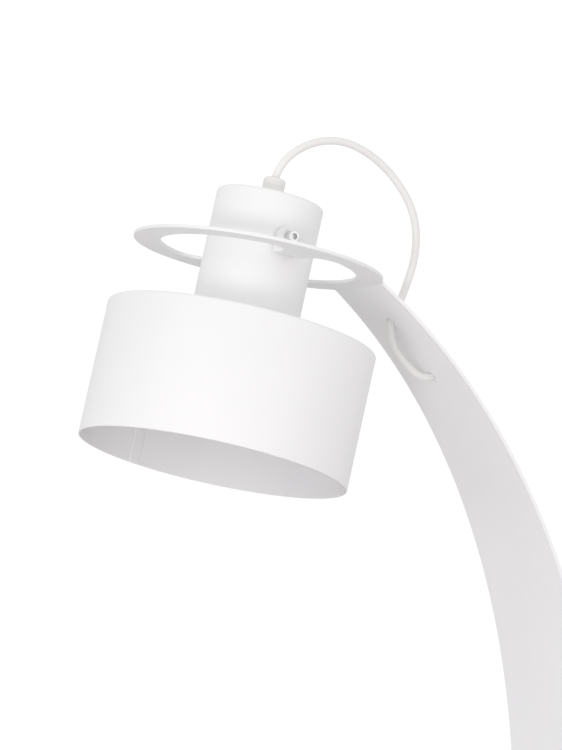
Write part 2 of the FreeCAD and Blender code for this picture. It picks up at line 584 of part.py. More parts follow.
save("plug_relief", put_plug(relief(24.0, 5.6, 4.2)))

# ------------------------------------------------------------ foot switch
def put_switch(shape):
    s = shape.copy()
    s.translate(V(SW_X, SW_Y, 0))
    return s


hl, hwd, wl = SW_HALF_L, SW_HALF_W, 2.0
sb = rounded(hwd, hl, 8.0, 0.0, SW_SPLIT)
sb = round_edges(sb, 1.5, lambda e: e.BoundBox.ZMax < 0.01)
sb = sb.cut(rounded(hwd - wl, hl - wl, 6.0, 2.0, 20.0))
posts = [cyl(3.0, 1.9, SW_SPLIT, "z", 0, sy * 33.0) for sy in (-1, 1)]
sb = sb.fuse(posts)
for sy in (-1, 1):
    sb = sb.cut(cyl(4.2, sy * (hl - wl - 1), sy * (hl + 1), "y", 0, SW_Z)).cut(cyl(1.5, -1, 20, "z", 0, sy * 33.0)).cut(cyl(2.9, -1, 2.0, "z", 0, sy * 33.0))
save("switch_base", put_switch(sb))
sc = rounded(hwd, hl, 8.0, SW_SPLIT, SW_TOP)
sc = round_edges(sc, 4.0, lambda e: e.BoundBox.ZMin > SW_TOP - 0.01)
sc = sc.cut(round_edges(rounded(hwd - wl, hl - wl, 6.0, 0.0, SW_TOP - wl), 1.0, lambda e: e.BoundBox.ZMin > SW_TOP - wl - 0.01))
bosses = [cyl(3.0, SW_SPLIT, SW_TOP - 1.0, "z", 0, sy * 33.0) for sy in (-1, 1)]
sc = sc.fuse(bosses).cut(cyl(BUTTON_R + 0.1, 0, 40))
for sy in (-1, 1):
    sc = sc.cut(cyl(4.2, sy * (hl - wl - 1), sy * (hl + 1), "y", 0, SW_Z)).cut(cyl(1.2, 0, SW_TOP - 3.0, "z", 0, sy * 33.0))
save("switch_cover", put_switch(sc))
csr = []
for sy in (-1, 1):
    h = cyl(2.9, 0.4, 2.0, "z", 0, sy * 33.0).cut(box(-2.2, 2.2, sy * 33 - 0.4, sy * 33 + 0.4, 0, 1.2))
    csr.append(h.fuse(cyl(1.2, 2.0, 18.0, "z", 0, sy * 33.0)))
save("switch_screws", put_switch(group(csr)))
rl = []
for sy in (-1, 1):
    r = relief(RELIEF_L, 5.4, 4.1)
    r = r.fuse(cyl(4.2, 0, wl, "x").cut(cyl(CORD_R, -10, 10, "x"))).fuse(cyl(5.4, wl, wl + 1.6, "x").cut(cyl(CORD_R, -10, 10, "x")))
    r.rotate(V(0, 0, 0), V(0, 0, 1), -90 * sy)
    r.translate(V(0, sy * hl, SW_Z))
    rl.append(r)
save("switch_reliefs", put_switch(group(rl)))
cb = rounded(9.0, 14.0, 1.5, 2.0, 7.5)
cb = cb.fuse(cyl(4.2, 7.5, 9.2)).cut(cyl(1.0, 6.0, 8.0, "z", 5, 11)).cut(cyl(1.0, 6.0, 8.0, "z", -5, 11)).cut(cyl(1.0, 6.0, 8.0, "z", 5, -11)).cut(cyl(1.0, 6.0, 8.0, "z", -5, -11))
save("contact_block", put_switch(cb))
save("contact_screws", put_switch(group([cyl(1.0, 6.0, 7.5, "z", sx * 5, sy * 11).fuse(cyl(1.9, 7.5, 8.7, "z", sx * 5, sy * 11)) for sx in (-1, 1) for sy in (-1, 1)])))
bt = cyl(BUTTON_R, SW_TOP - wl, SW_TOP + 4.0)
bt = round_edges(bt, 1.5, lambda e: e.BoundBox.ZMin > SW_TOP + 3.9)
bt = bt.fuse(cyl(BUTTON_R + 1.4, SW_TOP - wl - 1.8, SW_TOP - wl - 0.05))
bt = bt.fuse(cyl(BUTTON_R, SW_TOP - wl - 1.8, SW_TOP)).cut(cyl(BUTTON_R - 2.0, 0, SW_TOP + 2.0))
bt = bt.fuse(cyl(2.0, 13.2, SW_TOP + 2.1))
save("foot_button", put_switch(bt))
save("button_spring", put_switch(cyl(6.6, 7.5, SW_TOP + 2.0).cut(cyl(5.4, 0, 40))))
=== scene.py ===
import json
import math

import bmesh
import bpy
import numpy as np
from mathutils import Matrix, Vector
from mathutils.geometry import delaunay_2d_cdt

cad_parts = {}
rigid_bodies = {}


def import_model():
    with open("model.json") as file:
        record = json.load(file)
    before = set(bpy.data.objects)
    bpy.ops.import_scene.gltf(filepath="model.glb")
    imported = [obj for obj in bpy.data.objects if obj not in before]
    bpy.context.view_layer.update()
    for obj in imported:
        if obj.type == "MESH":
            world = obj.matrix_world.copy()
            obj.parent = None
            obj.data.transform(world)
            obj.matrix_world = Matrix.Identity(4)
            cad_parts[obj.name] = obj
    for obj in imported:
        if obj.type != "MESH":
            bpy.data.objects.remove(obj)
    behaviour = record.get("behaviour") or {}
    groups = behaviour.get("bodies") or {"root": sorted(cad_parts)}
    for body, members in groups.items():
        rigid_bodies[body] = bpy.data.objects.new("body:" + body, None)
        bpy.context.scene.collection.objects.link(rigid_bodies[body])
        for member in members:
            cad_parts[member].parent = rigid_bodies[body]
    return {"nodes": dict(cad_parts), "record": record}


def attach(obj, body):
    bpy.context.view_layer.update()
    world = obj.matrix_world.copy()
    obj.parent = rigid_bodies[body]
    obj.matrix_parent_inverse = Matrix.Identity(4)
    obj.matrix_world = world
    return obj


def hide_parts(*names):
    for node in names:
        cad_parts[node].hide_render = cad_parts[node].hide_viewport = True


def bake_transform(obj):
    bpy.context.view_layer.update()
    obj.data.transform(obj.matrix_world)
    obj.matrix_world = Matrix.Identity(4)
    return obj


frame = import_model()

for stray in [o for o in bpy.data.objects if o.name in ("Cube", "Light", "Camera")]:
    bpy.data.objects.remove(stray)
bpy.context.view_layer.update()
MM = 0.001
NODES = frame["nodes"]
scene = bpy.context.scene

# ------------------------------------------------------------------ camera
cam_data = bpy.data.cameras.new("camera")
cam_data.lens = 392.4
cam_data.sensor_width = 36.0
cam_data.clip_start, cam_data.clip_end = 0.1, 200.0
cam = bpy.data.objects.new("camera", cam_data)
scene.collection.objects.link(cam)
cam.location = (-3.3548, -5.8897, 0.9841)
AZ, EL = math.radians(29.447), math.radians(3.122)
look = Vector((math.sin(AZ) * math.cos(EL), math.cos(AZ) * math.cos(EL), math.sin(EL)))
cam.rotation_mode = "QUATERNION"
cam.rotation_quaternion = look.to_track_quat("-Z", "Y")
scene.camera = cam

# ---------------------------------------------------------- the lamp's sizes
SHEET = 3.0
RING_R, RING_HOLE_R = 105.0, 82.5
AL, BE = math.radians(12.07), math.radians(14.06)
ARM_W0, BEND_IN, FOOT_IN = 39.27, 3.0, 6.0
FOOT_R, FOOT_TOP, RING_Z = 165.0, 17.0, 1450.0
EAR_HALF, EAR_OUT = 12.5, 48.6
SLOPE0 = math.radians(39.5)
RING_U = Vector((math.cos(AL), 0, -math.sin(AL)))
RING_N = Vector((math.sin(AL), 0, math.cos(AL)))
CHORD = math.sqrt(RING_R ** 2 - ARM_W0 ** 2)
YY = Vector((0, 1, 0))


def curvature(s):
    u = s / 1.05
    if u <= 560:
        return (2.358 - 0.251 * (u / 100)) / 1050.0
    return (0.13 + (2.358 - 0.251 * 5.6 - 0.13) * max(0.0, 1 - (u - 560) / 190.0)) / 1050.0


def half_width(s):
    u = s / 1.05
    w = 37.4 + 7.51 * (u / 100)
    if u > 560:
        w -= 0.00155 * (u - 560) + 0.0000075 * (u - 560) ** 2
    return w * 1.05


start = RING_U * CHORD - RING_N * (SHEET / 2)
bend_c = start - RING_N * BEND_IN
after = bend_c + Vector((math.sin(SLOPE0), 0, math.cos(SLOPE0))) * BEND_IN


def walk(s_nodes):
    out = [(0.0, after.x, after.z, SLOPE0)]
    for s0, s1 in zip(s_nodes[:-1], s_nodes[1:]):
        s, x, z, f = out[-1]
        n = 40
        turn = sum(curvature(s0 + (s1 - s0) * (i + 0.5) / n) for i in range(n)) * (s1 - s0) / n
        r = (s1 - s0) / turn
        cx, cz = x - r * math.sin(f), z - r * math.cos(f)
        out.append((s1, cx + r * math.sin(f + turn), cz + r * math.cos(f + turn), f + turn))
    return out


S_NODES = [0, 45, 90, 135, 180, 235, 290, 345, 400, 455, 510, 550, 588, 640, 690, 740, 788]
lo_s, hi_s = 1200.0, 1900.0
for _ in range(60):
    S_END = (lo_s + hi_s) / 2
    arm_nodes = walk(S_NODES + [S_END])
    _, x, z, f = arm_nodes[-1]
    if z - FOOT_IN * math.cos(f) - FOOT_IN + RING_Z > FOOT_TOP:
        lo_s = S_END
    else:
        hi_s = S_END
_, x, z, F_END = arm_nodes[-1]
FOOT_CHORD = math.sqrt(FOOT_R ** 2 - half_width(S_END) ** 2)
OFF = Vector((-((x - FOOT_IN * math.sin(F_END)) - FOOT_CHORD), 0, RING_Z))
arm_nodes = [(s, x + OFF.x, z + OFF.z, f) for s, x, z, f in arm_nodes]
PIVOT = OFF + RING_U * 0.08 + RING_N * 14.4
HEAD = Matrix.Translation(PIVOT * MM) @ Matrix.Rotation(BE, 4, "Y") @ Matrix.Scale(MM, 4)


def on_arm(s, out):
    for a, b in zip(arm_nodes[:-1], arm_nodes[1:]):
        if s <= b[0] or b is arm_nodes[-1]:
            r = (b[0] - a[0]) / (b[3] - a[3])
            f = a[3] + (s - a[0]) / r
            n = Vector((math.sin(f), 0, math.cos(f)))
            c = Vector((a[1] - r * math.sin(a[3]), 0, a[2] - r * math.cos(a[3])))
            return c + n * (r + out), Vector((math.cos(f), 0, -math.sin(f))), n


# --------------------------------------------------------------- mesh tools
def new_object(name, mesh):
    ob = bpy.data.objects.new(name, mesh)
    scene.collection.objects.link(ob)
    return ob


def finish_mesh(name, verts, faces, normals=None, angle=38.0):
    me = bpy.data.meshes.new(name)
    me.from_pydata([tuple(v) for v in verts], [], faces)
    me.validate()
    bm = bmesh.new()
    bm.from_mesh(me)
    bmesh.ops.recalc_face_normals(bm, faces=bm.faces)
    bm.to_mesh(me)
    bm.free()
    me.polygons.foreach_set("use_smooth", [True] * len(me.polygons))
    if normals is not None:
        me.normals_split_custom_set_from_vertices([tuple(n) for n in normals])
    else:
        me.set_sharp_from_angle(angle=math.radians(angle))
    me.update()
    return new_object(name, me)


def rounded_outline(points, n=6):
    """Points (r, z, radius): a polygon whose corners are arcs of that radius."""
    out = []
    m = len(points)
    for i, (px, pz, rad) in enumerate(points):
        a, p, b = Vector(points[i - 1][:2]), Vector((px, pz)), Vector(points[(i + 1) % m][:2])
        if rad <= 0:
            out.append((px, pz))
            continue
        u, w = (a - p).normalized(), (b - p).normalized()
        half = math.acos(max(-1, min(1, u.dot(w)))) / 2
        back = min(rad / math.tan(half), 0.49 * (a - p).length, 0.49 * (b - p).length)
        r = back * math.tan(half)
        c = p + (u + w).normalized() * (r / math.sin(half))
        p0, p1 = p + u * back - c, p + w * back - c
        a0 = math.atan2(p0.y, p0.x)
        da = (math.atan2(p1.y, p1.x) - a0 + math.pi) % (2 * math.pi) - math.pi
        steps = max(2, int(n * abs(da) / (math.pi / 2) + 0.99))
        for k in range(steps + 1):
            t = a0 + da * k / steps
            out.append((c.x + r * math.cos(t), c.y + r * math.sin(t)))
    return out


def lathe(name, outline, at, sides=128, closed=True, ripple=None, angle=38.0):
    """An outline of (r, z) in millimetres turned about Z, then placed by a matrix."""
    verts, faces, rings = [], [], []
    for r, z in outline:
        if r < 1e-6:
            rings.append([len(verts)])
            verts.append(at @ Vector((0, 0, z)))
            continue
        ring = []
        for k in range(sides):
            t = 2 * math.pi * k / sides
            rr, zz = (r, z) if ripple is None else ripple(r, z, t)
            ring.append(len(verts))
            verts.append(at @ Vector((rr * math.cos(t), rr * math.sin(t), zz)))
        rings.append(ring)
    pairs = list(zip(rings, rings[1:] + rings[:1])) if closed else list(zip(rings[:-1], rings[1:]))
    for a, b in pairs:
        if len(a) == 1 and len(b) == 1:
            continue
        for k in range(sides):
            j = (k + 1) % sides
            if len(a) == 1:
                faces.append((a[0], b[k], b[j]))
            elif len(b) == 1:
                faces.append((a[k], b[0], a[j]))
            else:
                faces.append((a[k], b[k], b[j], a[j]))
    return finish_mesh(name, verts, faces, angle=angle)


def flow(name, points, order=3):
    """The points, in metres, that a smooth line through this route follows."""
    cu = bpy.data.curves.new(name, "CURVE")
    cu.dimensions = "3D"
    cu.resolution_u = 14
    sp = cu.splines.new("NURBS")
    sp.points.add(len(points) - 1)
    for p, co in zip(sp.points, points):
        p.co = (*co, 1.0)
    sp.order_u = order
    sp.use_endpoint_u = True
    ob = new_object(name, cu)
    bpy.context.view_layer.update()
    me = bpy.data.meshes.new_from_object(ob.evaluated_get(bpy.context.evaluated_depsgraph_get()))
    line = [v.co.copy() for v in me.vertices]
    bpy.data.meshes.remove(me)
    bpy.data.objects.remove(ob)
    bpy.data.curves.remove(cu)
    out = [line[0]]
    for p in line[1:]:
        if (p - out[-1]).length > 1e-5:
            out.append(p)
    return out


def tube(name, line, radius, sides=28, swell=None):
    """A round tube along the line, with flat capped ends."""
    n = len(line)
    tans = [(line[min(i + 1, n - 1)] - line[max(i - 1, 0)]).normalized() for i in range(n)]
    up = Vector((0, 1, 0)) if abs(tans[0].y) < 0.9 else Vector((0, 0, 1))
    side = tans[0].cross(up).normalized()
    verts, rings = [], []
    dist = 0.0
    for i, (p, t) in enumerate(zip(line, tans)):
        if i:
            side = (tans[i - 1].rotation_difference(t) @ side)
            side = (side - t * side.dot(t)).normalized()
            dist += (p - line[i - 1]).length
        b = t.cross(side)
        r = radius if swell is None else radius * swell(dist)
        rings.append(list(range(len(verts), len(verts) + sides)))
        verts += [p + (side * math.cos(2 * math.pi * k / sides) + b * math.sin(2 * math.pi * k / sides)) * r for k in range(sides)]
    faces = []
    for a, b in zip(rings[:-1], rings[1:]):
        faces += [(a[k], a[(k + 1) % sides], b[(k + 1) % sides], b[k]) for k in range(sides)]
    faces.append(tuple(reversed(rings[0])))
    faces.append(tuple(rings[-1]))
    return finish_mesh(name, verts, faces, angle=50)


def length_of(line):
    return sum((b - a).length for a, b in zip(line[:-1], line[1:]))


# ------------------------------------------------------------------- cords
CORD_R = 3.25 * MM
LEAD = [  # from the grip, over the arch, through both holes, down the arm, to the switch
    (-0.0351085, 0, 1.51635), (-0.0298, 0, 1.5308), (-0.0020, 0, 1.5477), (0.0279, 0, 1.5510), (0.0558, 0, 1.5407),
    (0.0813, 0, 1.5199), (0.0992, 0, 1.4915), (0.1008, 0, 1.4595), (0.0895, 0, 1.4275), (0.0762, 0, 1.4020),
    (0.0745, 0, 1.3885), (0.0797, 0, 1.3755), (0.0918, 0, 1.3634), (0.1068, 0, 1.3528), (0.1268, 0, 1.3592),
    (0.1440, 0, 1.3520), (0.1530, 0, 1.3235), (0.1728, 0, 1.2835), (0.1991, 0, 1.2252), (0.2254, 0, 1.1444),
    (0.2415, 0, 1.0610), (0.2484, 0, 0.9766), (0.2476, 0, 0.8920), (0.2406, 0, 0.8079), (0.2295, 0, 0.7243),
    (0.2169, 0, 0.6412), (0.2035, 0, 0.5582), (0.1892, 0, 0.4754), (0.1740, 0, 0.3927), (0.1580, 0, 0.3101),
    (0.1412, 0, 0.2278), (0.1234, 0, 0.1456), (0.1185, -0.0025, 0.0980), (0.1290, -0.0080, 0.0600),
    (0.1490, -0.0160, 0.0360), (0.1720, -0.0290, 0.0240), (0.1940, -0.0450, 0.0110), (0.2110, -0.0680, 0.00325),
    (0.2200, -0.0950, 0.00325), (0.2220, -0.1237, 0.00325), (0.2443, -0.1460, 0.00325), (0.2757, -0.1460, 0.00325),
    (0.2980, -0.1237, 0.00325), (0.2980, -0.0830, 0.0080), (0.2980, -0.0610, 0.0080), (0.2980, -0.0420, 0.0080)]
lead_line = flow("lead_line", LEAD)
lead = tube("cord_to_switch", lead_line, CORD_R)

COIL_X, COIL_Y = 225.0, 75.0
TAIL = [(0.298, 0.042, 0.008), (0.298, 0.058, 0.008), (0.298, 0.071, 0.008), (0.298, 0.0936, 0.00325), (0.28835, 0.11035, 0.00325), (0.27165, 0.1196, 0.00325),
        (0.2540, 0.1201, 0.00325), (0.2395, 0.1201, 0.00325)]


def ease(v):
    v = max(0.0, min(1.0, v))
    return v * v * (3 - 2 * v)


def winding():
    """Three turns inwards on the floor, then three outwards on top of them, a diameter apart."""
    out = []
    for k in range(0, 120):
        phi = 18.0 * k
        turn, f = int(phi // 360), phi % 360
        if phi < 1080:
            r = 44.6 - 6.6 * (turn + ease((f - 260) / 100) if turn < 2 else 2)
        else:
            r = 31.4 + 6.6 * (turn - 3 + ease((f - 120) / 100))
        z = 3.25 + 6.55 * ease((phi - 945) / 70)
        a = math.radians(90 + phi)
        r /= 0.9877                              # the spline runs just inside its points
        out.append(((COIL_X + r * math.cos(a)) * MM, (COIL_Y + r * math.sin(a)) * MM, z * MM))
    return out


END = [(0.2270, 0.1262, 0.0098), (0.2120, 0.1262, 0.0094), (0.1970, 0.1269, 0.0080), (0.1816, 0.1293, 0.00685),
       (0.1671, 0.13605, 0.00685), (0.149, 0.1445, 0.00685)]
mains_line = flow("mains_line", TAIL + winding() + END)
mains = tube("cord_to_plug", mains_line, CORD_R)

# ------------------------------------------------- the arm: one folded sheet
BEND_LEN = (BEND_IN + SHEET / 2) * (SLOPE0 - AL)
A_ARM = CHORD + BEND_LEN                     # where the curve starts, in the flat sheet
A_FOOT = A_ARM + S_END
FOOT_LEN = (FOOT_IN + SHEET / 2) * (math.pi - F_END)
A_DISC = A_FOOT + FOOT_LEN
end_p, _, end_n = on_arm(S_END, 0)
FOOT_C = end_p - end_n * FOOT_IN
Y_FOLD, Z_FOLD, R_FOLD = EAR_OUT + 2.0, SHEET / 2 + 2.0, 2.0 + SHEET / 2
B_UP = Y_FOLD - R_FOLD * math.pi / 2


def flat_half(a):
    if a <= A_ARM:
        return ARM_W0
    return half_width(min(a - A_ARM, S_END))


def fold(a, b, h):
    """A point of the flat sheet, h off its middle, with its two tangents and its normal."""
    if a <= CHORD:
        side = 1.0 if b >= 0 else -1.0
        q = abs(b)
        if q < Y_FOLD and abs(a) <= EAR_HALF + 1e-6:
            if q > B_UP:
                t = (Y_FOLD - q) / R_FOLD
                y, z = Y_FOLD - (R_FOLD - h) * math.sin(t), Z_FOLD - (R_FOLD - h) * math.cos(t)
                tb, tn = (math.cos(t), -math.sin(t)), (math.sin(t), math.cos(t))
            else:
                y, z = Y_FOLD - R_FOLD + h, Z_FOLD + (B_UP - q)
                tb, tn = (0.0, -1.0), (1.0, 0.0)
            return (OFF + RING_U * a + YY * (side * y) + RING_N * z, RING_U,
                    YY * tb[0] + RING_N * (side * tb[1]), YY * (side * tn[0]) + RING_N * tn[1])
        return OFF + RING_U * a + YY * b + RING_N * h, RING_U, YY, RING_N
    if a < A_ARM:
        f = AL + (a - CHORD) / (BEND_IN + SHEET / 2)
        n = Vector((math.sin(f), 0, math.cos(f)))
        return bend_c + OFF + n * (BEND_IN + SHEET / 2 + h) + YY * b, Vector((n.z, 0, -n.x)), YY, n
    if a <= A_FOOT:
        p, t, n = on_arm(a - A_ARM, SHEET / 2 + h)
        return p + YY * b, t, YY, n
    if a < A_DISC:
        f = F_END + (a - A_FOOT) / (FOOT_IN + SHEET / 2)
        n = Vector((math.sin(f), 0, math.cos(f)))
        return FOOT_C + n * (FOOT_IN + SHEET / 2 + h) + YY * b, Vector((n.z, 0, -n.x)), YY, n
    n = Vector((0, 0, -1))
    return Vector((FOOT_C.x - (a - A_DISC), b, FOOT_C.z - FOOT_IN - SHEET / 2 - h)), Vector((-1, 0, 0)), YY, n


# rows across the sheet
rows = [CHORD] + [CHORD + BEND_LEN * k / 8 for k in range(1, 8)]
s = 0.0
while s < S_END - 4:
    rows.append(A_ARM + s)
    s += 5.0 if s < 760 else 11.0
rows += [A_FOOT + FOOT_LEN * k / 10 for k in range(0, 11)]
right = [(a, flat_half(a)) for a in rows]
left = [(a, -b) for a, b in reversed(right)]
foot_a0 = math.acos(FOOT_CHORD / FOOT_R)
X_DISC = A_DISC + FOOT_C.x
foot_arc = [(X_DISC - FOOT_R * math.cos(t), FOOT_R * math.sin(t))
            for t in [foot_a0 + (2 * math.pi - 2 * foot_a0) * k / 150 for k in range(1, 150)]]
ring_a0 = math.asin(ARM_W0 / RING_R)
ring_arc = [(RING_R * math.cos(t), RING_R * math.sin(t))
            for t in [-ring_a0 - (2 * math.pi - 2 * ring_a0) * k / 220 for k in range(1, 220)]]
outer = right + foot_arc + left + ring_arc


def arc(cx, cy, r, a0, a1, n):
    return [(cx + r * math.cos(a0 + (a1 - a0) * k / n), cy + r * math.sin(a0 + (a1 - a0) * k / n)) for k in range(n + 1)]


# the ring's hole, with two tabs reaching in on wide root blends
BLEND_R = 16.0
bcx = EAR_HALF + BLEND_R
bcy = math.sqrt((RING_HOLE_R - BLEND_R) ** 2 - bcx * bcx)
t_hit = math.atan2(bcy, bcx)
quarter = arc(0, 0, RING_HOLE_R, 0.0, t_hit, 38)[:-1]
quarter += arc(bcx, bcy, BLEND_R, t_hit, math.pi, 16)
B_TOP = B_UP - (14.4 - 3.0 - Z_FOLD)         # centre of the tab's round end, in the flat sheet
side_rows = [55.0] + [Y_FOLD - (Y_FOLD - B_UP) * k / 8 for k in range(0, 9)] + [41.0]
quarter += [(EAR_HALF, q) for q in side_rows]
quarter += arc(0, B_TOP, EAR_HALF, 0.0, -math.pi / 2, 14)
q1 = quarter
q2 = [(-x, y) for x, y in reversed(q1)][1:]
q3 = [(-x, -y) for x, y in q1][1:]
q4 = [(x, -y) for x, y in reversed(q1)][1:-1]
hole = q1 + q2 + q3 + q4


def circle(cx, cy, r, n):
    return [(cx + r * math.cos(2 * math.pi * k / n), cy + r * math.sin(2 * math.pi * k / n)) for k in range(n)]


B_PIN = B_UP - (14.4 - Z_FOLD)
holes = [hole, circle(0.08, B_PIN, 3.05, 24), circle(0.08, -B_PIN, 3.05, 24),
         circle(A_ARM + 42.0, 0, 5.0, 40), circle(A_ARM + 101.8, 0, 5.0, 40)]


def orient(loop, positive):
    area = sum(a[0] * b[1] - b[0] * a[1] for a, b in zip(loop, loop[1:] + loop[:1]))
    return loop if (area > 0) == positive else list(reversed(loop))


loops = [orient(outer, True)] + [orient(l, False) for l in holes]   # the metal is on the left of each


def inward(loop):
    out = []
    m = len(loop)
    for i in range(m):
        p0, p, p1 = Vector(loop[i - 1]), Vector(loop[i]), Vector(loop[(i + 1) % m])
        e0, e1 = (p - p0).normalized(), (p1 - p).normalized()
        n0, n1 = Vector((-e0.y, e0.x)), Vector((-e1.y, e1.x))
        v = (n0 + n1).normalized()
        out.append((v, 1.0 / max(0.45, v.dot(n0))))
    return out


ROUND = 0.5                                   # the coating rounds the cut edges this much
STATIONS = [(ROUND * (1 - math.sin(t)), SHEET / 2 - ROUND * (1 - math.cos(t)), t) for t in [math.pi / 2 * k / 4 for k in range(5)]]
STATIONS += [(u, -h, math.pi - t) for u, h, t in reversed(STATIONS)]

flat_pts, edges, marks = [], [], []
for loop in loops:
    ins = inward(loop)
    ids = []
    for (a, b), (v, k) in zip(loop, ins):
        ids.append(len(flat_pts))
        flat_pts.append(Vector((a + v.x * k * ROUND, b + v.y * k * ROUND)))
    edges += list(zip(ids, ids[1:] + ids[:1]))
    marks.append((loop, ins, ids))
outer_ids = marks[0][2]
outer_loop = marks[0][0]
where = {(round(a, 5), b > 0): i for (a, b), i in zip(outer_loop, outer_ids)}
for a in rows:
    i, j = where[(round(a, 5), True)], where[(round(a, 5), False)]
    near = any(abs(a - c) < 9 for c in (A_ARM + 42.0, A_ARM + 101.8))
    if near:                                  # leave room round a cable hole
        w = flat_half(a)
        for sgn, end in ((1, i), (-1, j)):
            k = len(flat_pts)
            flat_pts.append(Vector((a, sgn * 11.0)))
            edges.append((k, end))
    else:
        edges.append((i, j))
for r in (86.5, 90.5, 94.5, 98.5, 102.0):
    for k in range(150):
        t = 2 * math.pi * (k + 0.5 * (int(r) % 2)) / 150
        a, b = r * math.cos(t), r * math.sin(t)
        if a < CHORD - 2.5 and not (abs(a) < 19 and r < 88):
            flat_pts.append(Vector((a, b)))
for sgn in (1, -1):                           # rulings across each tab's fold
    for q in side_rows[1:]:
        i, j = [min(range(len(flat_pts)), key=lambda n, x=x: (flat_pts[n] - Vector((x, sgn * q))).length_squared)
                for x in (EAR_HALF + ROUND - 2 * ROUND, -EAR_HALF + ROUND)]
        if q > 40.5:
            edges.append((i, j))

cv, _, cf, orig, _, _ = delaunay_2d_cdt(flat_pts, edges, [], 0, 1e-5)
at = {}
for n, src in enumerate(orig):
    for i in src:
        at[i] = n
V2 = np.array([(v[0], v[1]) for v in cv])
T3 = np.array([t for t in cf if len(t) == 3])
mid = V2[T3].mean(axis=1)
inside = np.zeros(len(mid), bool)
for _, _, ids in marks:
    P = V2[[at[i] for i in ids]]
    Q = np.roll(P, -1, axis=0)
    for (x0, y0), (x1, y1) in zip(P, Q):
        if y0 == y1:
            continue
        hit = ((y0 > mid[:, 1]) != (y1 > mid[:, 1])) & (mid[:, 0] < (x1 - x0) * (mid[:, 1] - y0) / (y1 - y0) + x0)
        inside ^= hit
T3 = T3[inside]
used = sorted(set(int(i) for i in T3.ravel()))
verts, norms, top, bot = [], [], {}, {}
for store, h, sg in ((top, SHEET / 2, 1.0), (bot, -SHEET / 2, -1.0)):
    for i in used:
        p, _, _, n = fold(V2[i][0], V2[i][1], h)
        store[i] = len(verts)
        verts.append(p * MM)
        norms.append(n * sg)
faces = [tuple(top[int(i)] for i in t) for t in T3] + [tuple(bot[int(i)] for i in reversed(t)) for t in T3]
for loop, ins, ids in marks:
    grid = []
    for (a, b), (v, k), i in zip(loop, ins, ids):
        col = []
        for st, (u, h, t) in enumerate(STATIONS):
            if st == 0:
                col.append(top[at[i]])
                continue
            if st == len(STATIONS) - 1:
                col.append(bot[at[i]])
                continue
            p, _, _, _ = fold(a + v.x * k * u, b + v.y * k * u, h)
            _, ta, tb, n = fold(a + v.x * k * ROUND, b + v.y * k * ROUND, h)
            out_d = -(ta * v.x + tb * v.y)
            col.append(len(verts))
            verts.append(p * MM)
            norms.append((n * math.cos(t) + out_d * math.sin(t)).normalized())
        grid.append(col)
    for c0, c1 in zip(grid, grid[1:] + grid[:1]):
        for k in range(len(STATIONS) - 1):
            faces.append((c0[k], c0[k + 1], c1[k + 1], c1[k]))
arm = finish_mesh("arm_sheet", verts, faces, normals=norms)

# the studs welded under the foot disc
stud_v, stud_f = [], []
for sx, sy in ((40.0, 95.0), (40.0, -95.0), (-75.0, 70.0), (-75.0, -70.0)):
    prof = [(3.0, 14.0), (3.0, 5.0), (2.4, 4.2)]
    for r, zz in prof:
        stud_v += [Vector((sx + r * math.cos(2 * math.pi * k / 24), sy + r * math.sin(2 * math.pi * k / 24), zz)) * MM for k in range(24)]
    b0 = len(stud_v) - 72
    for lvl in (0, 1):
        stud_f += [(b0 + 24 * lvl + k, b0 + 24 * lvl + (k + 1) % 24, b0 + 24 * (lvl + 1) + (k + 1) % 24, b0 + 24 * (lvl + 1) + k) for k in range(24)]
    stud_f += [tuple(range(b0, b0 + 24)), tuple(range(b0 + 48, b0 + 72))]
studs = finish_mesh("foot_studs", stud_v, stud_f)

# ---------------------------------------------------------------- the base
FLAT = Matrix.Scale(MM, 4)
base = lathe("base_disc", [(0, 2.0)] + rounded_outline([(150, 2.0, 0), (165, 2.0, 1.0), (165, 14.0, 1.3), (150, 14.0, 0)]) + [(0, 14.0)],
             FLAT, sides=256, closed=True)
pad = lathe("felt_pad", [(0, 0.0)] + rounded_outline([(150, 0.0, 0), (163.5, 0.0, 0.5), (163.4, 1.98, 0.4), (150, 1.98, 0)]) + [(0, 1.98)],
            FLAT, sides=256, closed=True,
            ripple=lambda r, z, t: (r - (0.14 + 0.14 * math.sin(61 * t) * math.sin(17 * t + 1)) * (r > 160), z))

# ---------------------------------------------------------------- the head
neck = lathe("neck_shell", rounded_outline([
    (34, -75, 0.3), (45, -75, 0.35), (45, 36, 3.0), (5.1, 36, 0.3), (5.1, 33, 0.3), (43, 33, 1.6), (43, -71, 0.8), (34, -71, 0.4)], 8),
    HEAD, sides=192, angle=50)
shade = lathe("shade_shell", rounded_outline([
    (34, -75, 0.2), (113.4, -75, 3.0), (113.4, -190.9, 0.45), (111.9, -190.9, 0.45), (111.9, -76.5, 1.5), (34, -76.5, 0.2)], 8),
    HEAD, sides=288, angle=50)
# the drum's lap seam, a flat raised band up the inside of the wall
sv, sf = [], []
cols = [(94.6, 0.0), (94.8, 0.34), (95.1, 0.5), (96.6, 0.5), (98.2, 0.5), (99.7, 0.5), (100.0, 0.34), (100.2, 0.0)]
zs = [-190.2, -189.9, -189.5] + [-189.5 + 8.0 * k for k in range(1, 14)] + [-78.4]
for i, zz in enumerate(zs):
    for a, h in cols:
        r = 111.95 - h * (0.25 if i == 0 else 0.8 if i == 1 else 1.0)
        sv.append(HEAD @ Vector((r * math.cos(math.radians(a)), r * math.sin(math.radians(a)), zz)))
for i, zz in enumerate(zs):
    for a, h in cols:
        sv.append(HEAD @ Vector((112.4 * math.cos(math.radians(a)), 112.4 * math.sin(math.radians(a)), zz)))
nc, nz = len(cols), len(zs)
for lay in (0, nc * nz):
    sf += [(lay + i * nc + j, lay + i * nc + j + 1, lay + (i + 1) * nc + j + 1, lay + (i + 1) * nc + j) for i in range(nz - 1) for j in range(nc - 1)]
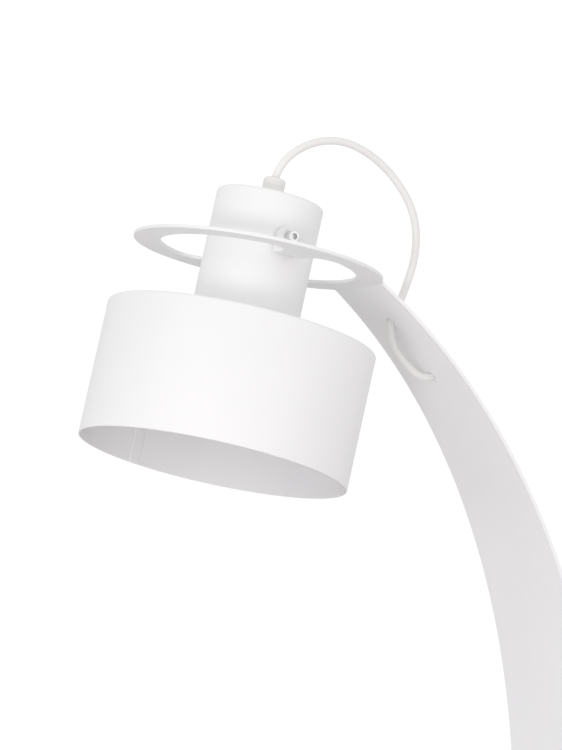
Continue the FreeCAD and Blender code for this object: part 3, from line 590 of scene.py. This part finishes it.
rim = [j for j in range(nc)] + [i * nc + nc - 1 for i in range(1, nz)] + [(nz - 1) * nc + j for j in range(nc - 2, -1, -1)] + [i * nc for i in range(nz - 2, 0, -1)]
sf += [(a, b, b + nc * nz, a + nc * nz) for a, b in zip(rim, rim[1:] + rim[:1])]
seam = finish_mesh("shade_seam", sv, sf, angle=60)

grip = lathe("cord_grip_body", rounded_outline([
    (3.3, 36.0, 0.2), (9.3, 36.0, 0.3), (9.3, 45.6, 0.25), (9.05, 45.8, 0.1), (9.05, 46.2, 0.1), (9.3, 46.4, 0.25), (9.3, 53.5, 2.6), (3.3, 53.5, 0.7)], 7),
    HEAD, sides=96, angle=50)

# the bulb: ribbed housing and opal dome
def ribs(r, z, t):
    k = max(0.0, min(1.0, (-z - 34.0) / 8.0)) * max(0.0, min(1.0, (z + 74.0) / 5.0))
    return r - 0.35 * k * (0.5 + 0.5 * math.cos(24 * t)) ** 2, z
prof = [(0, -6.4), (12.9, -6.4), (12.9, -27.0), (14.3, -27.0)]
ctrl = [(14.55, -27.3), (15.1, -32.0), (16.4, -38.0), (18.2, -45.0), (20.4, -52.0), (23.1, -59.0), (25.9, -66.0), (28.2, -72.0), (29.4, -76.0), (29.5, -77.0)]
bulb_housing = lathe("bulb_body", prof + ctrl + [(28.6, -77.0), (0, -77.0)], HEAD, sides=192, ripple=ribs, angle=45)
dome = [(0, -77.0), (29.3, -77.0), (29.7, -77.4)] + [(30.0 * math.cos(math.radians(a)), -80.0 - 30.0 * math.sin(math.radians(a))) for a in range(0, 88, 4)] + [(0, -110.0)]
bulb_dome = lathe("bulb_dome", dome, HEAD, sides=128, angle=45)

# ------------------------------------------------------------------ finishes
def material(name, build, **direct):
    m = bpy.data.materials.new(name)
    m.use_nodes = True
    nt = m.node_tree
    bsdf = next(n for n in nt.nodes if n.type == "BSDF_PRINCIPLED")
    for key, value in direct.items():
        bsdf.inputs[key.replace("_", " ")].default_value = value
    coords = nt.nodes.new("ShaderNodeTexCoord")
    build(nt, bsdf, coords.outputs["Object"])
    return m


def noise(nt, co, scale, detail=2.0, rough=0.5, stretch=None):
    if stretch is not None:
        mp = nt.nodes.new("ShaderNodeMapping")
        mp.inputs["Scale"].default_value = stretch
        nt.links.new(co, mp.inputs["Vector"])
        co = mp.outputs["Vector"]
    n = nt.nodes.new("ShaderNodeTexNoise")
    n.inputs["Scale"].default_value = scale
    n.inputs["Detail"].default_value = detail
    n.inputs["Roughness"].default_value = rough
    nt.links.new(co, n.inputs["Vector"])
    return n.outputs["Fac"]


def ramp(nt, fac, lo, hi, a, b):
    r = nt.nodes.new("ShaderNodeValToRGB")
    r.color_ramp.elements[0].position, r.color_ramp.elements[1].position = lo, hi
    r.color_ramp.elements[0].color, r.color_ramp.elements[1].color = (*a, 1), (*b, 1)
    nt.links.new(fac, r.inputs["Fac"])
    return r.outputs["Color"]


def spread(nt, fac, lo, hi):
    r = nt.nodes.new("ShaderNodeMapRange")
    r.inputs["From Min"].default_value, r.inputs["From Max"].default_value = 0.3, 0.7
    r.inputs["To Min"].default_value, r.inputs["To Max"].default_value = lo, hi
    nt.links.new(fac, r.inputs["Value"])
    return r.outputs["Result"]


def bump(nt, bsdf, layers):
    """Each layer is (height, strength, distance in metres)."""
    last = None
    for h, strength, dist in layers:
        b = nt.nodes.new("ShaderNodeBump")
        b.inputs["Strength"].default_value = strength
        b.inputs["Distance"].default_value = dist
        nt.links.new(h, b.inputs["Height"])
        if last is not None:
            nt.links.new(last, b.inputs["Normal"])
        last = b.outputs["Normal"]
    nt.links.new(last, bsdf.inputs["Normal"])


def powder(tint_a, tint_b, r0, r1, grain=1.0):
    def build(nt, bsdf, co):
        nt.links.new(ramp(nt, noise(nt, co, 9.0, 4.0), 0.35, 0.65, tint_a, tint_b), bsdf.inputs["Base Color"])
        nt.links.new(spread(nt, noise(nt, co, 60.0, 3.0), r0, r1), bsdf.inputs["Roughness"])
        bump(nt, bsdf, [(noise(nt, co, 420.0, 2.0), 0.05 * grain, 0.0003), (noise(nt, co, 1500.0, 2.0, 0.6), 0.07 * grain, 0.0001)])
    return build


def plain(tint_a, tint_b, r0, r1, scale=300.0, dist=0.00006, strength=0.06, stretch=None):
    def build(nt, bsdf, co):
        nt.links.new(ramp(nt, noise(nt, co, 25.0, 3.0), 0.35, 0.65, tint_a, tint_b), bsdf.inputs["Base Color"])
        nt.links.new(spread(nt, noise(nt, co, scale, 3.0, 0.5, stretch), r0, r1), bsdf.inputs["Roughness"])
        bump(nt, bsdf, [(noise(nt, co, scale * 2, 2.0, 0.5, stretch), strength, dist)])
    return build


def felt_build(nt, bsdf, co):
    nt.links.new(ramp(nt, noise(nt, co, 700.0, 5.0, 0.7), 0.3, 0.7, (0.32, 0.32, 0.31), (0.62, 0.61, 0.60)), bsdf.inputs["Base Color"])
    nt.links.new(spread(nt, noise(nt, co, 300.0), 0.85, 1.0), bsdf.inputs["Roughness"])
    bump(nt, bsdf, [(noise(nt, co, 900.0, 5.0, 0.75), 0.8, 0.0008)])


M = {
    "white_coat": material("powder_coat", powder((0.862, 0.862, 0.862), (0.884, 0.882, 0.880), 0.50, 0.62), Specular_IOR_Level=0.42),
    "white_plastic": material("white_plastic", plain((0.80, 0.792, 0.775), (0.825, 0.818, 0.80), 0.38, 0.48), Specular_IOR_Level=0.45),
    "cord_pvc": material("cord_pvc", plain((0.825, 0.815, 0.797), (0.85, 0.84, 0.825), 0.46, 0.58, scale=220.0, dist=0.00006, strength=0.06), Specular_IOR_Level=0.42),
    "zinc": material("zinc", plain((0.70, 0.71, 0.72), (0.82, 0.825, 0.83), 0.27, 0.38, scale=500.0, dist=0.00004), Metallic=1.0),
    "nickel": material("nickel", plain((0.70, 0.68, 0.64), (0.80, 0.78, 0.74), 0.18, 0.28, scale=400.0, dist=0.00004), Metallic=1.0),
    "brass": material("brass", plain((0.70, 0.52, 0.24), (0.80, 0.63, 0.33), 0.24, 0.36, scale=400.0, dist=0.00004), Metallic=1.0),
    "holder_plastic": material("holder_plastic", plain((0.74, 0.73, 0.70), (0.79, 0.78, 0.75), 0.34, 0.46)),
    "nylon": material("nylon", plain((0.76, 0.76, 0.73), (0.82, 0.82, 0.79), 0.40, 0.52), Subsurface_Weight=0.1, Subsurface_Scale=0.001),
    "black_glass": material("black_glass", plain((0.012, 0.012, 0.013), (0.03, 0.03, 0.032), 0.06, 0.16, dist=0.00005)),
    "diffuser": material("opal", plain((0.86, 0.86, 0.845), (0.90, 0.90, 0.885), 0.30, 0.42, dist=0.00006), Subsurface_Weight=0.35, Subsurface_Scale=0.004),
    "felt": material("felt", felt_build, Sheen_Weight=0.4, Sheen_Roughness=0.6),
}


def wear(ob, slot_name):
    ob.data.materials.clear()
    ob.data.materials.append(M[slot_name])


for row in frame["record"]["subparts"]:
    ob = NODES[row["node"]]
    ob.data.materials.clear()
    ob.data.materials.append(M[row["material_slot"]])
for n in ("coil_tie", "cable_clips", "switch_base", "switch_cover", "plug_body"):
    bv = NODES[n].modifiers.new("edge", "BEVEL")
    bv.width, bv.segments, bv.limit_method, bv.angle_limit = 0.00035, 2, "ANGLE", math.radians(40)

for ob, name in ((arm, "white_coat"), (studs, "zinc"), (base, "white_coat"), (pad, "felt"), (neck, "white_coat"), (shade, "white_coat"),
                 (seam, "white_coat"), (grip, "white_plastic"), (bulb_housing, "white_plastic"), (bulb_dome, "diffuser"),
                 (lead, "cord_pvc"), (mains, "cord_pvc")):
    wear(ob, name)

# -------------------------------------------------------------- what rides on what
for ob in (arm, studs, base, pad, mains):
    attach(ob, "stand")
for ob in (neck, shade, seam, grip, bulb_housing, bulb_dome):
    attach(ob, "head")
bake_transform(lead)
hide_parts("arm")
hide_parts("base_plate")
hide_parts("floor_pad")
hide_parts("neck_housing")
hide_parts("shade")
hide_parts("cord_grip")
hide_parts("bulb_housing")
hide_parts("bulb_diffuser")
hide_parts("cord_arch", "cord_lead")
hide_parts("cord_tail", "cord_coil", "cord_end")

# ------------------------------------------------------------ floor and light
fm = bmesh.new()
bmesh.ops.create_circle(fm, cap_ends=True, segments=128, radius=40.0)
floor_mesh = bpy.data.meshes.new("floor")
fm.to_mesh(floor_mesh)
fm.free()
floor = new_object("floor", floor_mesh)
floor.location.z = -0.0004
floor_mesh.materials.append(material("floor", plain((0.69, 0.67, 0.68), (0.705, 0.685, 0.695), 0.7, 0.8, scale=20.0), Specular_IOR_Level=0.2))

world = bpy.data.worlds.new("studio")
scene.world = world
world.use_nodes = True
wt = world.node_tree
wt.nodes.clear()
out = wt.nodes.new("ShaderNodeOutputWorld")
light_bg = wt.nodes.new("ShaderNodeBackground")
light_bg.inputs["Color"].default_value = (1.0, 1.0, 1.0, 1)
light_bg.inputs["Strength"].default_value = 0.87
seen_bg = wt.nodes.new("ShaderNodeBackground")
seen_bg.inputs["Color"].default_value = (1.0, 1.0, 1.0, 1)
seen_bg.inputs["Strength"].default_value = 1.05
ray = wt.nodes.new("ShaderNodeLightPath")
mixer = wt.nodes.new("ShaderNodeMixShader")
wt.links.new(ray.outputs["Is Camera Ray"], mixer.inputs["Fac"])
wt.links.new(light_bg.outputs["Background"], mixer.inputs[1])
wt.links.new(seen_bg.outputs["Background"], mixer.inputs[2])
wt.links.new(mixer.outputs["Shader"], out.inputs["Surface"])


def area(name, at, to, size, watts, colour, beam=180.0):
    li = bpy.data.lights.new(name, "AREA")
    li.shape = "DISK"
    li.size, li.energy, li.color, li.spread = size, watts, colour, math.radians(beam)
    ob = bpy.data.objects.new(name, li)
    scene.collection.objects.link(ob)
    ob.location = at
    ob.rotation_mode = "QUATERNION"
    ob.rotation_quaternion = (Vector(to) - Vector(at)).to_track_quat("-Z", "Y")
    return ob


area("key", (-3.6, -1.4, 2.2), (0, 0, 1.3), 2.4, 2.6, (0.975, 0.965, 1.0), 80.0)
area("low", (-2.9, -2.8, 0.6), (0, 0, 1.25), 1.0, 4.0, (0.985, 0.965, 1.0), 60.0)
area("fill", (1.2, -4.4, 0.9), (0, 0, 1.25), 2.6, 21.0, (1.0, 0.965, 0.945))
scene.view_settings.view_transform = "Standard"
scene.view_settings.look = "None"
